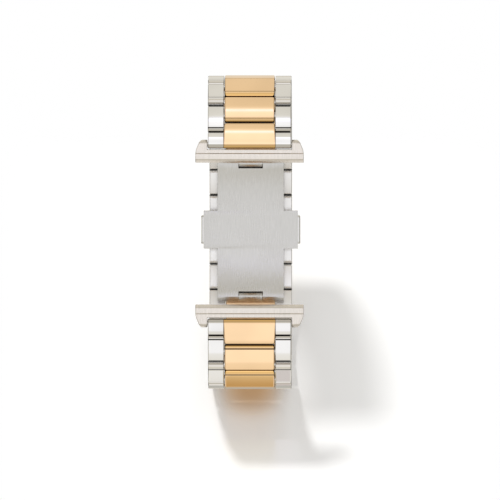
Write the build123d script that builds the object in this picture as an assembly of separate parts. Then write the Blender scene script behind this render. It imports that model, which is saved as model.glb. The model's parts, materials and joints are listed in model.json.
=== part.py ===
from build123d import *
import os
from math import asin, cos, degrees, radians, sin, sqrt

# A two-tone link bracelet with slide-in lugs, closed by a butterfly clasp. The closed bracelet lies
# on its side: +Z runs across the band, the gap between the lugs is at -Y and the clasp at +Y. The
# half towards twelve o'clock is at +X, and the other mirrors it. Everything is in millimetres.

# The band across its width
centre_width = 12.0
outer_width = 3.8
side_gap = 0.2
band_width = centre_width + 2 * (side_gap + outer_width)

# A row of links, seen from the side
row_count = 12
row_pitch = 6.3
end_pitch = 3.8
row_gap = 0.2
link_thickness = 2.8
hinge_round = 1.05
hinge_clearance = 0.2
bevel_length = 0.95
bevel_depth = 0.75
bevel_step = 0.3
edge_break = 0.12
end_flats = 3
side_bevel = 0.35
first_flare = 0.4

# The pins that join the links, and which rows have a pin that pushes out for sizing
pin_radius = 0.5
pin_sides = 12
crossbar_length = 1.5
crossbar_height = 0.9
run_clearance = 0.03
press_clearance = 0.01
end_bar_share = 0.42
first_sizing_row = 7
last_sizing_row = 10

# How the closed bracelet lies, as each row's heading in degrees from the lug round to the clasp
resting_degrees = [8, 10, 54, 82, 96, 108, 123, 138, 152]
clasp_radius = 60.0
closing_gap = 0.3

# The adapter with its slide-in rail, and the sprung bar that carries the first row
adapter_width = 26.0
ear_base_thickness = 2.73
ear_tip_thickness = 1.98
ear_clearance = 0.12
ear_corner = 0.6
rail_clearance = 0.25
rail_depth = 2.2
rail_height = 2.9
neck_height = 1.9
neck_length = 0.95
rail_corner = 0.8
bar_radius = 0.6
bar_seat = 1.2
bar_end_space = 0.1

# The clasp: a curved plate next to the wrist, and two wings folded over it
stack_clearance = 0.2
wing_thickness = 1.1
wing_width = 14.0
plate_thickness = 1.0
plate_margin = 1.0
wing_hinge_x = 16.2
knuckle_radius = 1.15
knuckle_width = 5.6
knuckle_clearance = 0.15
wing_pin_radius = 0.6
eye_width = 4.8
eye_side_gap = 0.2
blade_setback = 1.2
spring_slot_width = 0.5
spring_slot_length = 5.5
spring_tongue_width = 1.1

# The two push buttons, one in each side of the clasp
button_length = 7.0
button_height = 1.4
button_proud = 0.6
button_clearance = 0.05
box_half_length = 4.6
box_inner_gap = 0.3
box_floor = 1.0
spring_space = 1.2
button_engaged = 1.9
nose_side = 0.8
nose_offset = 2.4
spring_strip = 0.2
spring_room = 0.9

overrun = 1.0

outer_height = link_thickness - hinge_round
half_band = band_width / 2
half_centre = centre_width / 2
plate_width = wing_width + 2 * plate_margin


def ring(points):
    """The face inside a closed run of straight lines."""
    return make_face(Polyline(*points, close=True))


def slab(face, low, high):
    """A flat outline in X and Y, thickened from one height across the band to another."""
    return Pos(0, 0, low) * extrude(face, high - low)


def rod(radius, low, high, x=0, y=0):
    """A round bar across the band."""
    return Pos(x, y, (low + high) / 2) * Cylinder(radius, high - low)


def pin(radius, low, high, x=0, y=0):
    """A pin across the band with narrow flats all round, or the bore that such a pin is pressed in."""
    return Pos(x, y, 0) * slab(RegularPolygon(radius, pin_sides), low, high)


def crossbar(grow, place):
    """The flat bar that ties a row's three links together, or with a clearance its slot."""
    outline = Rectangle(crossbar_length + 2 * grow, crossbar_height + 2 * grow)
    half_bar = half_band - outer_width / 2
    return Pos(place, 0, 0) * slab(outline, -half_bar, half_bar)


def rounding(pivot, away):
    """Points of a link's end on the quarter circle about its pivot, from mid height to the floor."""
    angles = [radians(90 * n / end_flats) for n in range(end_flats + 1)]
    return [(pivot + away * hinge_round * cos(a), hinge_round * sin(a)) for a in angles]


def plain_end(place, away):
    """Points of a link's flat end, from its wall to the floor."""
    return [(place, hinge_round - bevel_step), (place - away * bevel_step, hinge_round)]


def link_side(near, far, near_pivot, far_pivot):
    """A link's side view. x runs away from the adapter and y towards the wrist.

    Its near end has the long bevel. An end that holds a pivot is round about it on the wrist side.
    """
    skin = -outer_height
    bevel = [
        (near + bevel_length, skin),
        (near + bevel_step, skin + bevel_depth - bevel_step),
        (near, skin + bevel_depth),
    ]
    near_end = plain_end(near, -1) if near_pivot is None else rounding(near_pivot, -1)
    far_end = plain_end(far, 1) if far_pivot is None else rounding(far_pivot, 1)
    crisp_corner = [(far, skin + edge_break), (far - edge_break, skin)]
    return ring(bevel + near_end + far_end[::-1] + crisp_corner)


def pitch_of(row):
    """The distance from a row's own pivot to the next one."""
    return end_pitch if row == 1 else row_pitch


def crossbar_place(row):
    """Where the bar that ties the outer links to the centre link stands, from the row's pivot."""
    return end_pitch * end_bar_share if row == 1 else row_pitch / 2


def flared_plan(grow):
    """The first centre link seen from its skin side, wider towards the adapter, made larger all round."""
    near = -hinge_round - overrun
    far = end_pitch + hinge_round + overrun
    upper = [(near, half_centre + first_flare + grow), (far, half_centre + grow)]
    outline = ring(upper + [(x, -z) for x, z in reversed(upper)])
    return Pos(0, -link_thickness, 0) * extrude(Plane.XZ * outline, -2 * link_thickness)


def centre_link(row):
    """The gold middle link of a row, bored for its pin and slotted for the crossbar."""
    pitch = pitch_of(row)
    if row == 1:
        side = link_side(-hinge_round, pitch + hinge_round, 0, pitch)
    else:
        side = link_side(hinge_round + hinge_clearance, pitch + hinge_round, None, pitch)
    if row == 1:
        link = slab(side, -half_band, half_band) & flared_plan(0)
        link -= rod(bar_radius + run_clearance, -half_band, half_band)
    else:
        link = slab(side, -half_centre, half_centre)
    link -= crossbar(press_clearance, crossbar_place(row))
    if row == row_count:
        notch = hinge_round + hinge_clearance + overrun
        half_notch = eye_width / 2 + eye_side_gap
        opening = Pos(pitch + notch - hinge_round - hinge_clearance, 0, 0) * Box(
            2 * notch, 2 * link_thickness + overrun, 2 * half_notch
        )
        link -= opening
    return link - rod(pin_radius + run_clearance, -half_band, half_band, pitch)


def outer_link(row):
    """The steel link at the high side of a row, with its outermost long edge bevelled."""
    pitch = pitch_of(row)
    if row == row_count:
        side = link_side(-hinge_round, pitch + hinge_round, 0, pitch)
    else:
        side = link_side(-hinge_round, pitch - hinge_round - row_gap, 0, None)
    link = slab(side, half_centre + side_gap, half_band)
    if row == 1:
        link -= flared_plan(side_gap)
    cutter = ring([(0, 0), (-side_bevel, 0), (0, -side_bevel)])
    along = Plane(origin=(0, -outer_height, half_band), x_dir=(0, -1, 0), z_dir=(1, 0, 0))
    reach = pitch + overrun + hinge_round
    return link - Pos(-overrun - hinge_round, 0, 0) * (along * extrude(cutter, 2 * reach))


def outer_links(row):
    """Both outer links of a row on their crossbar. A sizing row's pin is a piece of its own."""
    upper = outer_link(row)
    pair = upper + mirror(upper, Plane.XY) + crossbar(0, crossbar_place(row))
    through = half_band + overrun
    riveted = pin(pin_radius, -half_centre - overrun, half_centre + overrun)
    loose = []
    if row == 1:
        pair -= rod(bar_radius + run_clearance, -through, through)
    elif first_sizing_row <= row <= last_sizing_row:
        pair -= pin(pin_radius + press_clearance, -through, through)
        loose = pin(pin_radius, -half_band, half_band).solids()
    else:
        pair += riveted
    if row == row_count:
        pair += Pos(row_pitch, 0, 0) * riveted
    return pair.solids() + loose


def adapter():
    """The slide-in lug: a rail that fills a slot, a neck, and two ears for the bar."""
    web = -hinge_round - rail_clearance
    neck_end = web - neck_length
    rail_end = neck_end - rail_depth
    half_rail = rail_height / 2
    half_neck = neck_height / 2
    lower = [
        (0, hinge_round),
        (neck_end, half_neck),
        (neck_end, half_rail),
        (rail_end + rail_corner, half_rail),
        (rail_end, half_rail - rail_corner),
    ]
    upper = [(x, -y) for x, y in reversed(lower)]
    eye = ThreePointArc(upper[-1], (hinge_round, 0), lower[0])
    side = make_face([eye, Polyline(*lower, *upper)])
    inner = half_band + ear_clearance
    tip = inner + ear_tip_thickness
    upper_half = [
        (rail_end - overrun, adapter_width / 2),
        (neck_end, adapter_width / 2),
        (web, inner + ear_base_thickness),
        (hinge_round - ear_corner, tip),
        (hinge_round, tip - ear_corner),
        (hinge_round + overrun, tip - ear_corner),
        (hinge_round + overrun, inner),
        (web, inner),
    ]
    outline = ring(upper_half + [(x, -z) for x, z in reversed(upper_half)])
    plan = Pos(0, -rail_height, 0) * extrude(Plane.XZ * outline, -2 * rail_height)
    body = slab(side, -adapter_width / 2, adapter_width / 2) & plan
    socket = half_band + ear_clearance + bar_seat + bar_end_space
    return body - pin(bar_radius + press_clearance, -socket, socket)


def adapter_bar():
    """The bar that carries the first row, seated in a socket in each ear."""
    tip = half_band + ear_clearance + bar_seat
    return pin(bar_radius, -tip, tip)


def on_circle(radius, x):
    """The point at this x on a circle about the clasp's centre of curvature."""
    return (x, sqrt(radius**2 - x**2))


def curved_band(inner, outer, start, end):
    """A curved strip between two circles, from one x to another."""
    middle = (start + end) / 2
    return make_face(
        [
            ThreePointArc(on_circle(outer, start), on_circle(outer, middle), on_circle(outer, end)),
            Line(on_circle(outer, end), on_circle(inner, end)),
            ThreePointArc(on_circle(inner, end), on_circle(inner, middle), on_circle(inner, start)),
            Line(on_circle(inner, start), on_circle(outer, start)),
        ]
    )


# The circles of the closed clasp, from the links' wrist side inwards
chord_sag = clasp_radius - sqrt(clasp_radius**2 - (row_pitch / 2) ** 2)
wing_outer = clasp_radius - chord_sag - hinge_round - stack_clearance
wing_inner = wing_outer - wing_thickness
plate_outer = wing_inner - stack_clearance
plate_inner = plate_outer - plate_thickness
hinge_circle = wing_outer - knuckle_radius
wing_hinge = on_circle(hinge_circle, wing_hinge_x)
clasp_pin = on_circle(clasp_radius, closing_gap / 2 + hinge_round)


def wing():
    """A folding wing: a curved blade, an eye for the last row's pin, and a hinge knuckle."""
    free_end = clasp_pin[0] + blade_setback
    blade_end = wing_hinge_x - knuckle_radius - knuckle_clearance
    half_wing = wing_width / 2
    half_knuckle = knuckle_width / 2
    half_eye = eye_width / 2
    blade = slab(curved_band(wing_inner, wing_outer, free_end, blade_end), -half_wing, half_wing)
    slot_middle = half_wing - spring_tongue_width - spring_slot_width / 2
    for place in (-slot_middle, slot_middle):
        slot = Pos(free_end, wing_inner, place) * Box(
            2 * spring_slot_length, 4 * wing_thickness, spring_slot_width
        )
        blade -= slot
    root_side = curved_band(wing_inner, wing_outer, blade_end - overrun, wing_hinge_x)
    root = slab(root_side, -half_knuckle, half_knuckle)
    knuckle = rod(knuckle_radius, -half_knuckle, half_knuckle, *wing_hinge)
    eye_x, eye_y = clasp_pin
    eye = rod(hinge_round, -half_eye, half_eye, eye_x, eye_y)
    neck = ring(
        [
            (eye_x - hinge_round, eye_y),
            (eye_x - hinge_round, wing_inner),
            on_circle(wing_inner, free_end + overrun),
            on_circle(wing_outer, free_end + overrun),
            (eye_x + hinge_round, wing_outer),
            (eye_x + hinge_round, eye_y),
        ]
    )
    body = blade + root + knuckle + eye + slab(neck, -half_eye, half_eye)
    body -= rod(wing_pin_radius + run_clearance, -half_wing, half_wing, *wing_hinge)
    return body - rod(pin_radius + run_clearance, -half_wing, half_wing, eye_x, eye_y)


def button_outline(grow):
    """A button's face with its corners cut off, seen along the band's width, made larger all round."""
    half_length = button_length / 2 + grow
    half_height = button_height / 2 + grow
    corner = button_height / 3
    quarter = [(half_length, half_height - corner), (half_length - corner, half_height)]
    upper = quarter + [(-x, y) for x, y in reversed(quarter)]
    return ring(upper + [(x, -y) for x, y in reversed(upper)])


button_y = (plate_inner + wing_outer) / 2
box_inner = wing_width / 2 + box_inner_gap
pocket_floor = box_inner + box_floor
button_rear = pocket_floor + spring_space
box_outer = button_rear + button_engaged
button_face = box_outer + button_proud
button_travel = spring_space - 2 * (spring_strip + button_clearance)
nose_tip = wing_width / 2 + button_clearance + button_travel


def clasp_plate():
    """The curved plate, its four hinge knuckles, and a box for a push button in each side."""
    half_plate = plate_width / 2
    half_slot = knuckle_width / 2 + knuckle_clearance
    room = 2 * (knuckle_radius + knuckle_clearance)
    plate_side = curved_band(plate_inner, plate_outer, -wing_hinge_x, wing_hinge_x)
    plate = slab(plate_side, -half_plate, half_plate)
    for side in (-1, 1):
        x, y = side * wing_hinge[0], wing_hinge[1]
        plate += rod(knuckle_radius, -half_plate, half_plate, x, y)
        plate -= Pos(x, y, 0) * Box(room, room, 2 * half_slot)
        plate -= pin(wing_pin_radius + press_clearance, -half_plate, half_plate, x, y)
    shell = curved_band(plate_inner, wing_outer, -box_half_length, box_half_length)
    window_side = nose_side + 2 * button_clearance
    box = slab(shell, box_inner, box_outer)
    box -= Pos(0, button_y, 0) * slab(button_outline(button_clearance), pocket_floor, box_outer)
    plate += box + mirror(box, Plane.XY)
    for place in (-nose_offset, nose_offset):
        window = slab(Rectangle(window_side, window_side), wing_width / 2, box_outer)
        plate -= Pos(place, button_y, 0) * (window + mirror(window, Plane.XY))
    return plate


def button():
    """The push button at the high side, with two noses that press the wings' sprung tongues."""
    pad = slab(button_outline(0), button_rear, button_face)
    pad = chamfer(pad.edges().group_by(Axis.Z)[-1], edge_break * 2)
    nose_side_view = Rectangle(nose_side, nose_side)
    for place in (-nose_offset, nose_offset):
        pad += Pos(place, 0, 0) * slab(nose_side_view, nose_tip, button_rear)
    return Pos(0, button_y, 0) * pad


def button_spring():
    """The bowed leaf that pushes the high button out, from the pocket's floor to the pad's back."""
    low = pocket_floor + button_clearance
    high = button_rear - button_clearance
    reach = nose_offset - nose_side / 2 - spring_room / 2
    middle = spring_room / 2
    under = [(-reach, low), (-reach + middle, low), (-middle, high - spring_strip)]
    under += [(-x, z) for x, z in reversed(under)]
    over = [(x, z + spring_strip) for x, z in reversed(under)]
    leaf = Plane.XZ * ring(under + over)
    return Pos(0, button_y + button_height / 2, 0) * extrude(leaf, button_height)


def row_places():
    """Each row's pivot and heading, worked back from the clasp to the adapter."""
    pin_angle = degrees(asin(clasp_pin[0] / clasp_radius))
    step = 2 * degrees(asin(row_pitch / 2 / clasp_radius))
    over_clasp = row_count - len(resting_degrees)
    curved = [180 - pin_angle - step * (n + 1 / 2) for n in range(over_clasp)]
    headings = resting_degrees + curved[::-1]
    x, y = clasp_pin
    places = []
    for row in range(row_count, 0, -1):
        heading = headings[row - 1]
        x -= pitch_of(row) * cos(radians(heading))
        y -= pitch_of(row) * sin(radians(heading))
        places.append((row, x, y, heading))
    return places[::-1]


def placed(solids, x, y, heading):
    """Solids drawn about a pivot, turned to their heading and set down at it."""
    return [Pos(x, y, 0) * Rot(0, 0, heading) * solid for solid in solids]


def mirrored(solids):
    """The same solids on the other half of the bracelet."""
    return [mirror(solid, Plane.YZ) for solid in solids]


def every_node():
    """Each named piece of the bracelet, as a list of solids."""
    nodes = {}
    for row, x, y, heading in row_places():
        nodes[f"twelve_centre_link_{row:02d}"] = placed(centre_link(row).solids(), x, y, heading)
        nodes[f"twelve_outer_links_{row:02d}"] = placed(outer_links(row), x, y, heading)
    bar_x, bar_y = row_places()[0][1:3]
    nodes["twelve_adapter"] = placed(adapter().solids(), bar_x, bar_y, 0)
    nodes["twelve_adapter_bar"] = placed(adapter_bar().solids(), bar_x, bar_y, 0)
    nodes["twelve_wing"] = wing().solids()
    for name in list(nodes):
        nodes[name.replace("twelve", "six")] = mirrored(nodes[name])
    nodes["clasp_plate"] = clasp_plate().solids()
    half_plate = plate_width / 2
    hinge_pin = pin(wing_pin_radius, -half_plate, half_plate, *wing_hinge).solids()
    nodes["wing_hinge_pins"] = hinge_pin + mirrored(hinge_pin)
    for name, piece in (("button", button()), ("button_spring", button_spring())):
        nodes[f"upper_{name}"] = piece.solids()
        nodes[f"lower_{name}"] = [mirror(solid, Plane.XY) for solid in piece.solids()]
    return nodes


nodes = every_node()
box = Compound([solid for solids in nodes.values() for solid in solids]).bounding_box()
shift = Pos(0, -(box.min.Y + box.max.Y) / 2, -box.min.Z)

os.makedirs("parts", exist_ok=True)
for name, solids in nodes.items():
    export_step(Compound([shift * solid for solid in solids], label=name), f"parts/{name}.step")
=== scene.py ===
import json
import math

import bmesh
import bpy
import numpy as np
from mathutils import Matrix, Vector
from mathutils.geometry import tessellate_polygon


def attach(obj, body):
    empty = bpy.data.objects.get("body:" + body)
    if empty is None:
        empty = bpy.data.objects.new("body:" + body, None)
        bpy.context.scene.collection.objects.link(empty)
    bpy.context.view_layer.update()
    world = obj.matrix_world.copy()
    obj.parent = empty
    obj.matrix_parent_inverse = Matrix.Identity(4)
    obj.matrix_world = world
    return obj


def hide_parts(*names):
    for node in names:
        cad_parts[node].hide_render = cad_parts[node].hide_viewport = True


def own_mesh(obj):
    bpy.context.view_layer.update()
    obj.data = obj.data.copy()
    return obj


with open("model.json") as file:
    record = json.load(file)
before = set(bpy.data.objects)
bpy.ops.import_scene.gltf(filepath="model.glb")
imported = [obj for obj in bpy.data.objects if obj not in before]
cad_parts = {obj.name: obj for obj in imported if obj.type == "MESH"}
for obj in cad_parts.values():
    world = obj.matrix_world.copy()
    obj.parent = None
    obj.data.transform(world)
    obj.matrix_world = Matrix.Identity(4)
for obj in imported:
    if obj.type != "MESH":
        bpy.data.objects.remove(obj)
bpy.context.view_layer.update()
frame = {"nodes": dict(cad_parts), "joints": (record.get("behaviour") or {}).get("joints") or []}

# Sizes in millimetres that the part's own source has too
MM = 0.001
BAND_MIDDLE = 13.0
HALF_CENTRE = 6.0
SIDE_GAP = 0.2
HALF_BAND = 10.0
ROW_COUNT = 12
FIRST_PITCH = 3.8
HINGE_ROUND = 1.05
HINGE_CLEARANCE = 0.2
ROW_GAP = 0.2
SKIN = -1.75
BEVEL_LENGTH = 0.95
BEVEL_DEPTH = 0.75
BEVEL_STEP = 0.3
PIN_RADIUS = 0.5
BORE_RADIUS = 0.53
BAR_BORE_RADIUS = 0.63
CROSSBAR_LENGTH = 1.5
CROSSBAR_HEIGHT = 0.9
FIRST_CROSSBAR_SHARE = 0.42
FIRST_FLARE = 0.4
FLARE_OVERRUN = 1.0
SIZING_ROWS = (7, 8, 9, 10)
WING_PIN_RADIUS = 0.6
HALF_PLATE = 8.0
HALF_NOTCH = 2.6

# Sizes in millimetres of the finer forms that only the surfaces here have
CROWN = 0.11
SKIN_EASE = 0.14
BEVEL_RISE = 0.3
BEVEL_ARCH = 0.009
SEAM_WIDTH = 0.3
SEAM_DEPTH = 0.16
HALF_SEAM_FLOOR = 0.08
PLAN_ROUND = 0.45
PLAN_ROUND_SHARE = 0.75
GOLD_RIM = 0.28
STEEL_INNER_RIM = 0.14
STEEL_OUTER_RIM = 0.26
CROSSBAR_IN_GOLD = 0.02
CROSSBAR_IN_STEEL = 0.15
LOOSE_PIN_SHORT = 0.04
LOOSE_PIN_ROOM = 0.035
RIVET_DEPTH = 0.3

# How much painted shade the sides of the links get beside the long gaps, and the turn in degrees that opens a
# gap wide
SIDE_SHADE = 0.85
OPENED_TURN = 30


# Shader building

class Value:
    """A number that changes over a surface. Arithmetic on it adds Math nodes."""

    def __init__(self, paint, socket):
        self.paint, self.socket = paint, socket

    def __add__(self, other):
        return self.paint.maths("ADD", self, other)

    def __sub__(self, other):
        return self.paint.maths("SUBTRACT", self, other)

    def __mul__(self, other):
        return self.paint.maths("MULTIPLY", self, other)

    def __rsub__(self, other):
        return self.paint.maths("SUBTRACT", other, self)

    __radd__ = __add__
    __rmul__ = __mul__

    def root(self):
        return self.paint.maths("POWER", self, 0.5)

    def above(self, low, high):
        """0 below low, 1 above high and smooth between."""
        settings = {"interpolation_type": "SMOOTHSTEP"}
        inputs = {"Value": self, "From Min": low, "From Max": high}
        return self.paint.value(self.paint.node("ShaderNodeMapRange", settings, inputs), "Result")


class Paint:
    """Builds the nodes of one material or of the world."""

    def __init__(self, tree):
        self.tree = tree
        tree.nodes.clear()

    def node(self, kind, settings=None, inputs=None):
        """A new node: its settings come first, and then the values or links of its sockets."""
        node = self.tree.nodes.new(kind)
        for key, setting in (settings or {}).items():
            if key == "stops":
                ramp = node.color_ramp
                while len(ramp.elements) > 1:
                    ramp.elements.remove(ramp.elements[-1])
                ramp.elements[0].position, ramp.elements[0].color = setting[0]
                for place, colour in setting[1:]:
                    ramp.elements.new(place).color = colour
            else:
                setattr(node, key, setting)
        for key, value in (inputs or {}).items():
            if isinstance(value, Value):
                value = value.socket
            if isinstance(value, bpy.types.NodeSocket):
                self.tree.links.new(value, node.inputs[key])
            else:
                node.inputs[key].default_value = value
        return node

    def value(self, node, output=0):
        return Value(self, node.outputs[output])

    def maths(self, operation, *values):
        return self.value(self.node("ShaderNodeMath", {"operation": operation}, dict(enumerate(values))))

    def place(self):
        """Object coordinates, in metres."""
        return self.node("ShaderNodeTexCoord").outputs["Object"]

    def parts(self, vector):
        """The three numbers of a vector."""
        node = self.node("ShaderNodeSeparateXYZ", {}, {0: vector})
        return [self.value(node, n) for n in range(3)]

    def mapped(self, vector, stretch=(1, 1, 1), turn=(0, 0, 0)):
        inputs = {"Vector": vector, "Scale": stretch, "Rotation": turn}
        return self.node("ShaderNodeMapping", {"vector_type": "POINT"}, inputs).outputs[0]

    def noise(self, vector, scale, detail=2.0, roughness=0.5):
        inputs = {"Vector": vector, "Scale": scale, "Detail": detail, "Roughness": roughness}
        return self.value(self.node("ShaderNodeTexNoise", {}, inputs), "Fac")

    def attribute(self, name):
        return self.value(self.node("ShaderNodeAttribute", {"attribute_name": name}), "Fac")

    def blend(self, first, second, share):
        """The colour part way from the first to the second."""
        inputs = {"Factor": share, 6: first, 7: second}
        return self.node("ShaderNodeMix", {"data_type": "RGBA"}, inputs).outputs[2]

    def bump(self, height, strength, distance):
        inputs = {"Height": height, "Strength": strength, "Distance": distance}
        return self.node("ShaderNodeBump", {}, inputs).outputs[0]

    def shader(self, kind, inputs):
        return self.node("ShaderNode" + kind, {}, inputs).outputs[0]

    def output(self, surface):
        of_world = isinstance(self.tree.id_data, bpy.types.World)
        kind = "ShaderNodeOutputWorld" if of_world else "ShaderNodeOutputMaterial"
        self.node(kind, {}, {"Surface": surface})


def material(name):
    made = bpy.data.materials.new(name)
    made.use_nodes = True
    return made, Paint(made.node_tree)


def darker(colour, share):
    return [level * share for level in colour[:3]] + [1]


def polished(name, colour, painted_shade_colour, painted_reflection_colour, shine):
    """A mirror-polished link metal: faint smudges and hairlines on the skin side, brushed on the wrist side.

    Just under the skin, on the bevels, its colour is painted warmer, a painted reflection of the neighbouring
    gold. Gaps and seams are painted nearly black, as painted shade.
    """
    made, paint = material(name)
    place = paint.mapped(paint.place())
    smudge = paint.noise(place, 260, 3)
    drift = paint.noise(place, 90, 1)
    seam = paint.attribute("seam")
    wrist = paint.attribute("inner")
    along = paint.node("ShaderNodeUVMap", {"uv_map": "along"}).outputs[0]
    strokes = paint.noise(paint.mapped(along, (0.5, 26, 1)), 1.0, 3, 0.6)
    hairlines = paint.noise(paint.mapped(paint.place(), (900, 900, 9000), (0.3, 0.2, 0.6)), 1.0, 2, 0.7)
    tone = paint.blend(colour, darker(colour, 0.93), drift.above(0.35, 0.7))
    # Painted reflection: on the bevels just under the skin the colour is painted warmer, for the neighbouring
    # gold reflected there.
    tone = paint.blend(tone, painted_reflection_colour, paint.attribute("warm") * 0.8)
    # Painted shade: gaps and seam floors are painted nearly black.
    tone = paint.blend(tone, painted_shade_colour, seam * 0.97)
    rough = shine + smudge.above(0.45, 0.8) * 0.035 + wrist * (0.2 + strokes * 0.14) + seam * 0.4
    normal = paint.bump(hairlines * 0.12 + wrist * strokes * 2.4, 0.25, 0.00002)
    paint.output(paint.shader("BsdfPrincipled", {
        "Base Color": tone, "Roughness": rough, "Metallic": 1.0, "Normal": normal,
    }))
    return made


def brushed(name, colour, along, rough, depth):
    """Steel brushed along one axis, with long fine strokes and a little wear."""
    made, paint = material(name)
    strokes = paint.noise(paint.mapped(paint.place(), along), 1.0, 4, 0.65)
    wear = paint.noise(paint.mapped(paint.place()), 120, 2)
    tone = paint.blend(darker(colour, 0.88), colour, strokes.above(0.3, 0.7))
    paint.output(paint.shader("BsdfPrincipled", {
        "Base Color": tone,
        "Roughness": rough + strokes * 0.1 + wear.above(0.4, 0.75) * 0.05,
        "Metallic": 1.0,
        "Normal": paint.bump(strokes, 0.3, depth),
    }))
    return made


# Each metal's own colour, then its painted shade for gaps and seams, then its painted warm reflection on
# bevels
GOLD = polished(
    "polished_gold", (0.95, 0.678, 0.418, 1), (0.04, 0.018, 0.006, 1), (0.92, 0.57, 0.2, 1), 0.035)
STEEL = polished(
    "polished_steel", (0.82, 0.808, 0.8, 1), (0.022, 0.02, 0.02, 1), (0.72, 0.68, 0.63, 1), 0.035)
LUG_STEEL = brushed("lug_steel", (0.76, 0.71, 0.66, 1), (400, 400, 9000), 0.16, 0.000004)
CLASP_STEEL = brushed("clasp_steel", (0.6, 0.59, 0.575, 1), (300, 2500, 14000), 0.2, 0.000012)
BUTTON_STEEL = brushed("button_steel", (0.72, 0.71, 0.7, 1), (9000, 9000, 400), 0.12, 0.000006)
SPRING_STEEL = brushed("spring_steel", (0.5, 0.5, 0.5, 1), (3000, 3000, 900), 0.3, 0.00001)
PIN_STEEL = brushed("pin_steel", (0.7, 0.7, 0.69, 1), (8000, 8000, 800), 0.22, 0.000006)


# Surfaces

def corner(start, bend, end, steps=5):
    """A rounded corner: the quadratic curve from start to end that leans towards bend."""
    t = np.linspace(0, 1, steps + 1)[:, None]
    start, bend, end = (np.array(p, float) for p in (start, bend, end))
    return (1 - t) ** 2 * start + 2 * t * (1 - t) * bend + t**2 * end


def arc(centre, radius, degrees):
    """Points of a circle at these angles: the centre plus the radius times their cosine and sine."""
    angle = np.radians(degrees)
    return np.array(centre) + radius * np.stack([np.cos(angle), np.sin(angle)], 1)


def link_outline(near, far, near_pivot, far_pivot, turns, groove=1.0, seam_painted_shade=1.0, gap_up=0.0, gap_painted_shade=1.0):
    """A link's side view: x runs away from the adapter and y towards the wrist.

    The skin is a shallow parabola. A narrow seam divides it from the long bevel at the near end. An end
    that holds a pivot is a quarter circle about it. Returns the points and the painted shade on each: the
    seam's floor gets painted shade, and so does an end wall, from a little under the skin to a little above
    the wrist side. The turn in degrees to the next row at each end opens the gap there, so the painted shade
    on the wall begins further down. groove is the share of the seam's depth, and seam_painted_shade is how
    much painted shade its floor has. gap_up is how much nearer to the skin the walls' painted shade begins,
    and gap_painted_shade is how much painted shade they have.
    """
    seam_at = near + BEVEL_LENGTH
    seam_near, seam_far = seam_at - SEAM_WIDTH / 2, seam_at + SEAM_WIDTH / 2
    middle, half = (seam_at + far) / 2, (far - seam_at) / 2
    last = far - SKIN_EASE
    x = np.append(np.linspace(seam_far + 0.06, last - 0.36, 11), last - np.array([0.24, 0.12, 0]))
    skin = np.stack([x, SKIN + CROWN * ((x - middle) / half) ** 2], 1)
    lip, end = skin[0, 1], skin[-1, 1]
    skin_corner = corner(skin[-1], (far - 0.01, end + 0.01), (far, end + SKIN_EASE + 0.02), 4)
    far_wall = np.array([(far, -1.36), (far, -1.0), (far, -0.7), (far, -0.35)])
    near_wall = np.array([(near, 0.1), (near, -0.25), (near, -0.65)])

    floor = HINGE_ROUND
    if far_pivot is None:
        far_end = corner((far, floor - BEVEL_STEP), (far, floor), (far - BEVEL_STEP, floor))
    else:
        far_end = arc((far_pivot, 0), HINGE_ROUND, np.linspace(0, 90, 9))
    if near_pivot is None:
        near_end = corner((near + BEVEL_STEP, floor), (near, floor), (near, floor - BEVEL_STEP))
    else:
        near_end = arc((near_pivot, 0), HINGE_ROUND, np.linspace(90, 180, 9))

    foot = SKIN + BEVEL_DEPTH
    shoulder = foot - BEVEL_RISE
    bevel_start = near + BEVEL_STEP
    slope = (shoulder - SKIN) / (BEVEL_LENGTH - BEVEL_STEP)
    x = np.linspace(bevel_start + 0.08, seam_near - 0.05, 6)
    arch = BEVEL_ARCH * (1 - np.linspace(-1, 1, 6) ** 2)
    bevel = np.stack([x, shoulder - slope * (x - bevel_start) - arch], 1)
    bevel_corner = corner((near, foot + 0.05), (near + 0.1, foot - 0.2), bevel[0], 6)
    bevel_edge = shoulder - slope * (seam_near - bevel_start)
    seam = np.array([
        (seam_near, bevel_edge + 0.015 * groove),
        (seam_at - HALF_SEAM_FLOOR, lip + SEAM_DEPTH * groove),
        (seam_at + HALF_SEAM_FLOOR, lip + SEAM_DEPTH * groove),
        (seam_far, lip + 0.03 * groove),
    ])

    points = np.concatenate([
        skin, skin_corner[1:], far_wall, far_end, near_end, near_wall, bevel_corner, bevel[1:], seam,
    ])
    x, y = points.T
    near_opened, far_opened = HINGE_ROUND * np.sin(np.radians(turns))
    # Painted shade on the end walls, beginning further from the skin where the gap opens wide, and on the
    # seam floor.
    top = np.where(x > middle, -1.64 + far_opened, -1.06 + near_opened) - gap_up
    painted_shade = np.clip((y - top) / 0.12, 0, 1) * np.clip((0.85 - y) / 0.35, 0, 1) * gap_painted_shade
    painted_shade[-4:] = seam_painted_shade * groove * np.array([0.6, 1.0, 1.0, 0.6])
    return points, painted_shade


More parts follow.
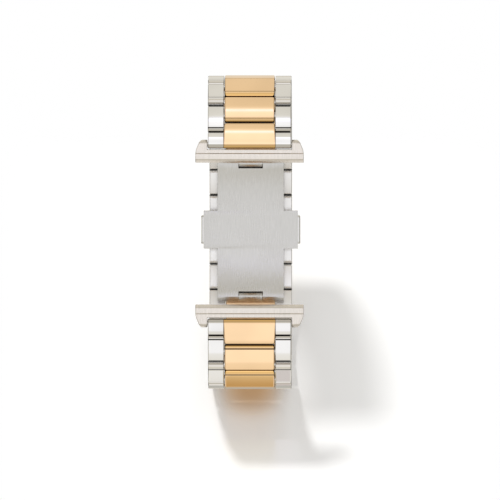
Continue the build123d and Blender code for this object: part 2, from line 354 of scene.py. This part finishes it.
def prism(points, low, high, rims, holes=(), painted_shade=0.0, widen=np.zeros_like, side_painted_shade=(0.0, 0.0)):
    """An outline carried across the band, its two rims rounded by drawing the outline in along its normals.

    With b from 0 to a quarter turn, a rim of size r is at depth r times (1 - cos b) and drawn in by r times
    (1 - sin b). One more ring past each rim keeps the broad face flat. Holes are (x, y, radius) and go right
    through. painted_shade is the painted shade at each point, and side_painted_shade the painted shade on the
    low and the high side. widen gives, for each x, how much further from the band's middle the link reaches.
    """
    count = len(points)
    along = np.roll(points, -1, 0) - np.roll(points, 1, 0)
    along /= np.linalg.norm(along, axis=1)[:, None]
    area = np.sum(points[:, 0] * np.roll(points[:, 1], -1) - np.roll(points[:, 0], -1) * points[:, 1])
    outward = np.stack([along[:, 1], -along[:, 0]], 1) * np.sign(area)
    b = np.linspace(0, np.pi / 2, 4)
    deep, drawn = 1 - np.cos(b), 1 - np.sin(b)
    draw = np.concatenate([rims[0] * drawn, [0, 0], rims[1] * drawn[::-1]])
    level = np.concatenate([
        low + rims[0] * deep, [low + rims[0] + 0.05, high - rims[1] - 0.05], high - rims[1] * deep[::-1],
    ])
    rings = len(level)
    ring = points[None] - outward[None] * draw[:, None, None]
    z = level[:, None] + widen(ring[..., 0]) * np.sign(level)[:, None]
    verts = [np.concatenate([ring, z[..., None]], 2).reshape(-1, 3)]
    index = np.arange(rings * count).reshape(rings, count)
    right = np.roll(index, -1, 1)
    walls = [np.stack([index[:-1], right[:-1], right[1:], index[1:]], -1).reshape(-1, 4)]

    total = rings * count
    loops = ([index[0]], [index[-1]])
    for x, y, radius in holes:
        rim = arc((x, y), radius, np.arange(0, 360, 12))
        for end in (0, -1):
            reach = level[end] + widen(rim[:, 0]) * np.sign(level[end])
            verts.append(np.concatenate([rim, reach[:, None]], 1))
        first = total + np.arange(len(rim))
        second = first + len(rim)
        walls.append(np.stack([first, np.roll(first, -1), np.roll(second, -1), second], 1))
        loops[0].append(first)
        loops[1].append(second)
        total += 2 * len(rim)
    verts = np.concatenate(verts)
    caps = []
    for side in loops:
        flat = [(verts[loop] * (1, 1, 0)).tolist() for loop in side]
        caps.append(np.concatenate(side)[np.array(tessellate_polygon(flat))])

    # Painted shade at each point, stronger on the two rings at a side that faces a long gap.
    shade = np.zeros(total)
    around = shade[:rings * count].reshape(rings, count)
    around[:] = painted_shade
    for depth, share in ((0, 1.0), (1, 0.5)):
        around[depth] = np.maximum(painted_shade, side_painted_shade[0] * share)
        around[-1 - depth] = np.maximum(painted_shade, side_painted_shade[1] * share)
    return {"verts": verts, "walls": np.concatenate(walls), "caps": np.concatenate(caps), "painted_shade": shade}


def turned_pin(radius, low, high, place=(0, 0), ease=0.08):
    """A round pin across the band with eased ends."""
    return prism(arc(place, radius, np.arange(0, 360, 10)), low, high, (ease, ease))


def block(start, end, bottom, top, low, high):
    """A bar across the band with a rectangular section."""
    section = np.array([(start, bottom), (end, bottom), (end, top), (start, top)])
    return prism(section, low, high, (0.0, 0.0))


def all_points(shells):
    return np.concatenate([shell["verts"] for shell in shells])


def shell_mesh(name, shells, carry):
    """One mesh from closed shells, facing outwards. carry takes their points to the part's frame."""
    faces = []
    base = 0
    for shell in shells:
        faces += (shell["walls"] + base).tolist() + (shell["caps"] + base).tolist()
        base += len(shell["verts"])
    mesh = bpy.data.meshes.new(name)
    mesh.from_pydata((carry(all_points(shells)) * MM).tolist(), [], faces)
    work = bmesh.new()
    work.from_mesh(mesh)
    bmesh.ops.recalc_face_normals(work, faces=work.faces)
    work.to_mesh(mesh)
    work.free()
    return mesh


def put_in_place(name, mesh, finish, node, body):
    """Makes a piece from a mesh, which then rides on a body in the place of a CAD node."""
    mesh.materials.append(finish)
    piece = bpy.data.objects.new(name, mesh)
    bpy.context.scene.collection.objects.link(piece)
    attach(piece, body)
    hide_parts(node)
    return piece


def dress(name, shells, carry, finish, node, body):
    """Makes a piece from shells, with smooth walls and flat sides, and marks its painted shade, its painted
    warm reflection and where its finish changes.

    Near the skin the warm mark of painted reflection rises over 0.3 mm of depth and falls again above the
    hinges, and the inner mark rises over the last 0.2 mm above the wrist side.
    """
    mesh = shell_mesh(name, shells, carry)
    smooth = [np.repeat((True, False), (len(shell["walls"]), len(shell["caps"]))) for shell in shells]
    mesh.polygons.foreach_set("use_smooth", np.concatenate(smooth))
    points = all_points(shells)
    y = points[:, 1]
    # seam holds the painted shade of gaps and seam floors, and warm the painted warm reflection on the
    # bevels.
    marks = {
        "seam": np.concatenate([shell["painted_shade"] for shell in shells]),
        "inner": np.clip((y - 0.8) / 0.2, 0, 1),
        "warm": np.clip((y + 1.66) / 0.3, 0, 1) * np.clip((-0.7 - y) / 0.2, 0, 1),
    }
    for label, values in marks.items():
        mesh.attributes.new(label, "FLOAT", "POINT").data.foreach_set("value", values.astype(np.float32))
    corners = np.zeros(len(mesh.loops), np.int32)
    mesh.loops.foreach_get("vertex_index", corners)
    layer = mesh.uv_layers.new(name="along")
    layer.data.foreach_set("uv", points[corners][:, [0, 2]].astype(np.float32).ravel())
    return put_in_place(name, mesh, finish, node, body)


def eased_copy(node, body, finish, width):
    """The CAD node's shape with its sharp edges rounded to a width in millimetres."""
    mesh = bpy.data.meshes.new(node + "_eased")
    work = bmesh.new()
    work.from_mesh(frame["nodes"][node].data)
    bmesh.ops.remove_doubles(work, verts=work.verts, dist=0.001 * MM)
    bmesh.ops.dissolve_limit(work, angle_limit=math.radians(1), verts=work.verts, edges=work.edges)
    sharp = [e for e in work.edges if len(e.link_faces) == 2 and e.calc_face_angle(0) > math.radians(24)]
    bmesh.ops.bevel(
        work, geom=sharp, offset=width * MM, offset_type="OFFSET", segments=3, profile=0.5,
        affect="EDGES", clamp_overlap=True,
    )
    bmesh.ops.recalc_face_normals(work, faces=work.faces)
    work.to_mesh(mesh)
    work.free()
    mesh.polygons.foreach_set("use_smooth", np.ones(len(mesh.polygons), bool))
    mesh.set_sharp_from_angle(angle=math.radians(38))
    return put_in_place(node + "_eased", mesh, finish, node, body)


def finished(node, finish):
    """Gives a CAD node that stays its material."""
    for place in frame["nodes"][node].material_slots:
        place.material = finish


def cad_points(node):
    """A CAD node's points in metres, one in each row."""
    found = frame["nodes"][node].data.vertices
    points = np.zeros(3 * len(found), np.float32)
    found.foreach_get("co", points)
    return points.reshape(-1, 3).astype(float)


def carrier(pivot, following, side):
    """Takes points in a row's own frame, about its pivot and heading to the following one, to the part's.

    x goes along the line between the pivots, y at right angles to it towards the wrist, and z is lifted to
    the band's middle. Returns that and the row's pitch.
    """
    pitch = np.linalg.norm(following - pivot)
    along = (following - pivot) / pitch
    wrist = side * np.array([-along[1], along[0]])

    def carry(v):
        flat = pivot + v[:, :1] * along + v[:, 1:2] * wrist
        return np.concatenate([flat, v[:, 2:] + BAND_MIDDLE], 1)

    return carry, pitch


# The rows of links

PIVOTS = {j["name"]: np.array(j["pos_m"][:2]) / MM for j in frame["joints"] if "pos_m" in j}


def first_row_flare(x):
    """How much wider the first centre link is than the rest, falling evenly from the adapter side to none."""
    start, end = -HINGE_ROUND - FLARE_OVERRUN, FIRST_PITCH + HINGE_ROUND + FLARE_OVERRUN
    return FIRST_FLARE * np.clip((end - x) / (end - start), 0, 1)


def plan_round(near, far, flare):
    """The change in half width along a link, seen from outside: its flare, less a round at each given end.

    At a distance d inside an end, the round takes off a share of r - sqrt(r^2 - (r - d)^2).
    """
    def widen(x):
        into = PLAN_ROUND - np.clip(np.minimum(x - near, far - x), 0, PLAN_ROUND)
        return flare(x) - (PLAN_ROUND - np.sqrt(PLAN_ROUND**2 - into**2)) * PLAN_ROUND_SHARE

    return widen


def centre_link(half, row, carry, pitch, turns):
    """The wide gold link. The first is also round about the adapter's bar, and has no seam."""
    far = pitch + HINGE_ROUND
    holes = [(pitch, 0, BORE_RADIUS)]
    if row == 1:
        points, painted_shade = link_outline(-HINGE_ROUND, far, 0, pitch, turns, groove=0.0, gap_up=0.07)
        holes.insert(0, (0, 0, BAR_BORE_RADIUS))
        widen = plan_round(-np.inf, far, first_row_flare)
    else:
        near = HINGE_ROUND + HINGE_CLEARANCE
        # The seam floors of the twelve half get lighter painted shade, as they face the light.
        seam_painted_shade = 0.4 if half == "twelve" else 1.0
        points, painted_shade = link_outline(near, far, None, pitch, turns, seam_painted_shade=seam_painted_shade, gap_up=0.07)
        widen = plan_round(near, far, np.zeros_like)
    shell = prism(
        points, -HALF_CENTRE, HALF_CENTRE, (GOLD_RIM, GOLD_RIM), holes, painted_shade, widen, (SIDE_SHADE, SIDE_SHADE))
    name, node = f"{half}_gold_link_{row:02d}", f"{half}_centre_link_{row:02d}"
    piece = dress(name, [shell], carry, GOLD, node, f"{half}_row_{row:02d}")
    if row == ROW_COUNT:
        notch(piece, carry, pitch)


def notch(piece, carry, pitch):
    """Cuts the room for the wing's eye out of the last centre link."""
    start = pitch - HINGE_ROUND - HINGE_CLEARANCE
    tool = block(start, start + 4, -4, 4, -HALF_NOTCH, HALF_NOTCH)
    cutter = bpy.data.objects.new("notch_tool", shell_mesh("notch_tool", [tool], carry))
    bpy.context.scene.collection.objects.link(cutter)
    cut = piece.modifiers.new("notch", "BOOLEAN")
    cut.operation, cut.object, cut.solver = "DIFFERENCE", cutter, "EXACT"
    bpy.context.view_layer.update()
    shape = bpy.data.meshes.new_from_object(piece.evaluated_get(bpy.context.evaluated_depsgraph_get()))
    piece.modifiers.clear()
    piece.data = shape
    bpy.data.objects.remove(cutter)


def outer_links(half, row, carry, pitch, turns):
    """A row's two steel links, the crossbar that ties them and the pin or pins that they carry."""
    last = row == ROW_COUNT
    far = pitch + HINGE_ROUND if last else pitch - HINGE_ROUND - ROW_GAP
    opened = turns[0] > OPENED_TURN
    # Painted shade: lighter in the seams of the twelve half's later rows, and on walls where a gap opens
    # wide.
    points, painted_shade = link_outline(
        -HINGE_ROUND, far, 0, pitch if last else None, turns,
        groove=0.0 if row == 1 else 1.0,
        seam_painted_shade=0.3 if half == "twelve" and row > 2 else 1.0,
        gap_up=0.3 if half == "twelve" and opened else 0.0,
        gap_painted_shade=0.55 if opened else 1.0,
    )
    inner_side = HALF_CENTRE + SIDE_GAP
    holes = []
    if row == 1:
        holes = [(0, 0, BAR_BORE_RADIUS)]
    elif row in SIZING_ROWS:
        holes = [(0, 0, PIN_RADIUS + LOOSE_PIN_ROOM)]
    bar_place = pitch * FIRST_CROSSBAR_SHARE if row == 1 else pitch / 2
    half_length, half_height = CROSSBAR_LENGTH / 2, CROSSBAR_HEIGHT / 2
    shells = []
    for side in (-1, 1):
        low, high = sorted((side * inner_side, side * HALF_BAND))
        rims = (STEEL_INNER_RIM, STEEL_OUTER_RIM)[::side]
        shells.append(prism(points, low, high, rims, holes, painted_shade, side_painted_shade=(SIDE_SHADE, 0.0)[::side]))
        low, high = sorted((side * (HALF_CENTRE - CROSSBAR_IN_GOLD), side * (inner_side + CROSSBAR_IN_STEEL)))
        bar = (bar_place - half_length, bar_place + half_length, -half_height, half_height)
        shells.append(block(*bar, low, high))
    pin_end, rivet_end = HALF_BAND - LOOSE_PIN_SHORT, inner_side + RIVET_DEPTH
    if row in SIZING_ROWS:
        shells.append(turned_pin(PIN_RADIUS, -pin_end, pin_end))
    elif row > 1:
        shells.append(turned_pin(PIN_RADIUS, -rivet_end, rivet_end))
    if last:
        shells.append(turned_pin(PIN_RADIUS, -rivet_end, rivet_end, (pitch, 0)))
    name, node = f"{half}_steel_links_{row:02d}", f"{half}_outer_links_{row:02d}"
    dress(name, shells, carry, STEEL, node, f"{half}_row_{row:02d}")


for half, side in (("twelve", 1), ("six", -1)):
    joints = [f"{half}_hinge_{row:02d}" for row in range(1, ROW_COUNT + 1)] + [f"{half}_clasp_pin"]
    places = [PIVOTS[joint] for joint in joints]
    steps = np.diff(places, axis=0)
    headings = np.degrees(np.unwrap(np.arctan2(steps[:, 1], side * steps[:, 0])))
    bends = np.concatenate([[0], np.abs(np.diff(headings)), [0]])
    for row in range(1, ROW_COUNT + 1):
        carry, pitch = carrier(places[row - 1], places[row], side)
        turns = bends[row - 1:row + 1]
        centre_link(half, row, carry, pitch, turns)
        outer_links(half, row, carry, pitch, turns)
    eased_copy(f"{half}_adapter", f"{half}_lug", LUG_STEEL, 0.22)
    eased_copy(f"{half}_wing", f"{half}_wing", CLASP_STEEL, 0.1)
    finished(f"{half}_adapter_bar", PIN_STEEL)


# The clasp

def lifted(v):
    """Points already in place along and around the band, lifted to its middle."""
    return v + np.array([0, 0, BAND_MIDDLE])


eased_copy("clasp_plate", "clasp", CLASP_STEEL, 0.1)
for end in ("upper", "lower"):
    eased_copy(f"{end}_button", f"{end}_button", BUTTON_STEEL, 0.16)
    spring = eased_copy(f"{end}_button_spring", "clasp", SPRING_STEEL, 0.02)
    heights = cad_points(f"{end}_button_spring")[:, 2]
    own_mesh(spring)

hinge_pins = [
    turned_pin(WING_PIN_RADIUS, -HALF_PLATE, HALF_PLATE, PIVOTS[f"{half}_wing_hinge"], 0.1)
    for half in ("twelve", "six")
]
dress("hinge_pins", hinge_pins, lifted, PIN_STEEL, "wing_hinge_pins", "clasp")


# Light, ground and camera

def grey(level):
    return (level, level, level, 1)


WHITE = grey(1)


def studio_world():
    """White for the camera. Reflections see a studio of broad pale cards, by the angle round the band's axis.

    The angle is 0 towards the photograph's camera at -Y, a quarter turn at +X, and half a turn at +Y.
    """
    world = bpy.data.worlds.new("studio")
    bpy.context.scene.world = world
    world.use_nodes = True
    paint = Paint(world.node_tree)
    x, y, z = paint.parts(paint.node("ShaderNodeTexCoord").outputs["Generated"])
    turn = paint.maths("ARCTAN2", x, y * -1) * (1 / (2 * math.pi)) + 0.5
    brightest = 1.6
    levels = [
        (-180, 0.5), (-160, 0.5), (-140, 0.78), (-122, 0.95), (-92, 1.0), (-80, 0.7), (-70, 0.62),
        (-55, 0.6), (-44, 0.7), (-38, 0.93), (-30, 0.94), (-25.5, 0.98), (-24, 1.1), (-10, 1.13),
        (6, 1.12), (10, 1.2), (15.2, 1.22), (16, 1.6), (17.7, 1.6), (18.4, 0.98), (21, 0.88), (30, 0.82),
        (40, 0.8), (42, 1.3), (44.5, 1.25), (46.5, 0.8), (52, 0.56), (60, 0.58), (76, 0.74), (95, 0.86),
        (125, 0.85), (180, 0.8),
    ]
    stops = [(angle / 360 + 0.5, grey(level / brightest)) for angle, level in levels]
    cards = paint.value(paint.node("ShaderNodeValToRGB", {"stops": stops}, {0: turn})) * brightest
    ends = 0.78 + z * 0.2
    across = (z * z).above(0.35, 0.9)
    lit = cards * (1 - across) + ends * across + z * 0.06
    upper_edge = z.above(0.42, 0.55) * (1 - z.above(0.75, 0.88))
    lower_edge = (z * -1).above(0.5, 0.6) * (1 - (z * -1).above(0.75, 0.85))
    seen = lit * (1 - upper_edge * 0.7) * (1 - lower_edge * 0.4)
    path = paint.node("ShaderNodeLightPath")
    camera_ray = paint.value(path, "Is Camera Ray")
    glossy_ray = paint.value(path, "Is Glossy Ray")
    level = camera_ray + (1 - camera_ray) * (glossy_ray * seen + (1 - glossy_ray) * 0.61)
    reflected = glossy_ray * (1 - camera_ray)
    tint = paint.blend(WHITE, (1, 0.966, 0.865, 1), reflected * (1 - cards.above(0.85, 1.12)))
    tint = paint.blend(tint, (0.98, 0.98, 1.27, 1), reflected * cards.above(1.25, 1.45))
    paint.output(paint.shader("Background", {"Color": tint, "Strength": level}))


def shown_where(paint, front, solid=1.0):
    """The front shader where solid is 1, and nothing at all where it is 0 or on the sheet's back."""
    clear = paint.shader("BsdfTransparent", {})
    back = paint.value(paint.node("ShaderNodeNewGeometry"), "Backfacing")
    paint.output(paint.shader("MixShader", {0: (1 - back) * solid, 1: clear, 2: front}))


def pale(paint, colour, glow, strength):
    """A matt colour with a glow of its own, which keeps a shadow on it light."""
    matt = paint.shader("BsdfDiffuse", {"Color": colour})
    light = paint.shader("Emission", {"Color": glow, "Strength": strength})
    return paint.shader("AddShader", {0: matt, 1: light})


def sheet(name, corners, finish, *unseen_by):
    """A flat piece of the stage, in metres, which these kinds of ray don't see."""
    mesh = bpy.data.meshes.new(name)
    mesh.from_pydata(corners, [], [tuple(range(len(corners)))])
    mesh.materials.append(finish)
    made = bpy.data.objects.new(name, mesh)
    bpy.context.scene.collection.objects.link(made)
    for ray in ("diffuse", "transmission", "shadow", *unseen_by):
        setattr(made, "visible_" + ray, False)


def floor():
    """The pale floor that the band lies on: it shows the shadow and is white where it is lit."""
    finish, paint = material("floor")
    shown_where(paint, pale(paint, grey(0.95), WHITE, 0.42))
    sheet("floor", [(-1.5, -1.5, 0), (1.5, -1.5, 0), (1.5, 1.5, 0), (-1.5, 1.5, 0)], finish, "glossy")


def leaning_ground():
    """The photograph's pale ground behind and under the band, which fades out beyond the shadow.

    It leans: its face looks up and to the camera, and it touches the six half behind row 8. With a and z the
    distances along the ground and across the band from there, it is solid up to 50 mm along and 40 mm across.
    A painted warm shade, standing in for light bounced from the gold, darkens a round place close under the
    band, by how much of the sky the band hides there. A part that moves behind the ground shows through it.
    """
    normal = np.array([0.7, -0.714])
    along = np.array([0.714, 0.7])
    skin = np.concatenate([cad_points(f"six_outer_links_{row:02d}")[:, :2] for row in (8, 9)])
    touch = skin[np.argmin(skin @ normal)] - 0.05 * MM * normal
    middle = BAND_MIDDLE * MM

    finish, paint = material("ground")
    from_touch = {0: paint.place(), 1: (*touch, middle)}
    away = paint.node("ShaderNodeVectorMath", {"operation": "SUBTRACT"}, from_touch).outputs[0]
    dot = paint.node("ShaderNodeVectorMath", {"operation": "DOT_PRODUCT"}, {0: away, 1: (*along, 0)})
    a = paint.value(dot, "Value")
    z = paint.parts(away)[2]
    solid = (1 - (a * a).root().above(0.05, 0.075)) * (1 - (z * z).root().above(0.04, 0.062))
    ahead = paint.node("ShaderNodeAmbientOcclusion", {"samples": 16}, {"Distance": 0.02})
    behind = paint.node("ShaderNodeAmbientOcclusion", {"inside": True, "samples": 24}, {"Distance": 0.09})
    clear_ahead, clear_behind = paint.value(ahead, "AO"), paint.value(behind, "AO")
    b = a + 0.01
    under = 1 - (b * b + z * z).root().above(0.001, 0.0115)
    # Painted bounce light and shade: the ground's colour and glow turn brown close under the band.
    painted_gold_bounce = under * (1 - clear_ahead).above(0.02, 0.3)
    colour = paint.blend(grey(0.95), (0.66, 0.47, 0.31, 1), painted_gold_bounce)
    glow = paint.blend(WHITE, (0.6, 0.4, 0.22, 1), painted_gold_bounce)
    sheen = paint.shader("BsdfGlossy", {"Color": WHITE, "Roughness": 0.42})
    front = paint.shader("MixShader", {0: 0.2, 1: pale(paint, colour, glow, 0.2), 2: sheen})
    shown_where(paint, front, solid * clear_behind.above(0.96, 0.995))
    up, down = touch + 0.08 * along, touch - 0.08 * along
    low, high = middle - 0.065, middle + 0.065
    sheet("ground", [(*up, high), (*down, high), (*down, low), (*up, low)], finish, "glossy")


def shade_card():
    """A card under the band that only reflections see: the third row below mirrors the shade on the ground.

    Its part under the gold is warm and grows darker towards the wrist, and its part beside it is grey.
    """
    finish, paint = material("shade_card")
    _, y, z = paint.parts(paint.place())
    tone = paint.blend((0.77, 0.72, 0.54, 1), (0.56, 0.43, 0.23, 1), y.above(-0.018, -0.007))
    tone = paint.blend((0.74, 0.69, 0.66, 1), tone, z.above(0.00685, 0.007))
    paint.output(paint.shader("Emission", {"Color": tone, "Strength": 1.0}))
    corners = np.array([(-50, -22, 1.4), (-50, -22, 17), (-50, -15, 19.1), (-50, -4, 19.1), (-50, -4, 1.4)])
    sheet("shade_card", (corners * MM).tolist(), finish, "camera")


def photo_light():
    """One soft lamp from the photograph's upper left, whose shadow falls to the lower right."""
    lamp = bpy.data.lights.new("key", "SUN")
    lamp.energy = 1.7
    lamp.angle = math.radians(9)
    key = bpy.data.objects.new("key", lamp)
    key.rotation_mode = "QUATERNION"
    key.rotation_quaternion = Vector((-2.36, 0.71, -0.75)).to_track_quat("-Z", "Y")
    key.visible_glossy = False
    bpy.context.scene.collection.objects.link(key)


def photo_camera():
    """A very long lens straight in front, turned so that +X is up in the picture."""
    pixels_per_mm = 4.15
    half_picture = 250 / pixels_per_mm * MM
    distance = 4.0
    lean = math.radians(1.5)
    lens = bpy.data.cameras.new("photo_camera")
    lens.sensor_width = 36
    lens.lens = lens.sensor_width / 2 * distance / half_picture
    lens.clip_start, lens.clip_end = 0.1, 10
    camera = bpy.data.objects.new("photo_camera", lens)
    bpy.context.scene.collection.objects.link(camera)
    target = Vector((-4.36, -3, 13.02)) * MM
    place = target + Vector((math.sin(lean), -math.cos(lean), 0)) * distance
    place.z = -17.7 * MM
    forward = (target - place).normalized()
    right = forward.cross(Vector((1, 0, 0))).normalized()
    up = right.cross(forward)
    camera.matrix_world = Matrix.Translation(place) @ Matrix((right, up, -forward)).transposed().to_4x4()
    bpy.context.scene.camera = camera


leaning_ground()
floor()
shade_card()
studio_world()
photo_light()
photo_camera()
bpy.context.scene.view_settings.view_transform = "Standard"
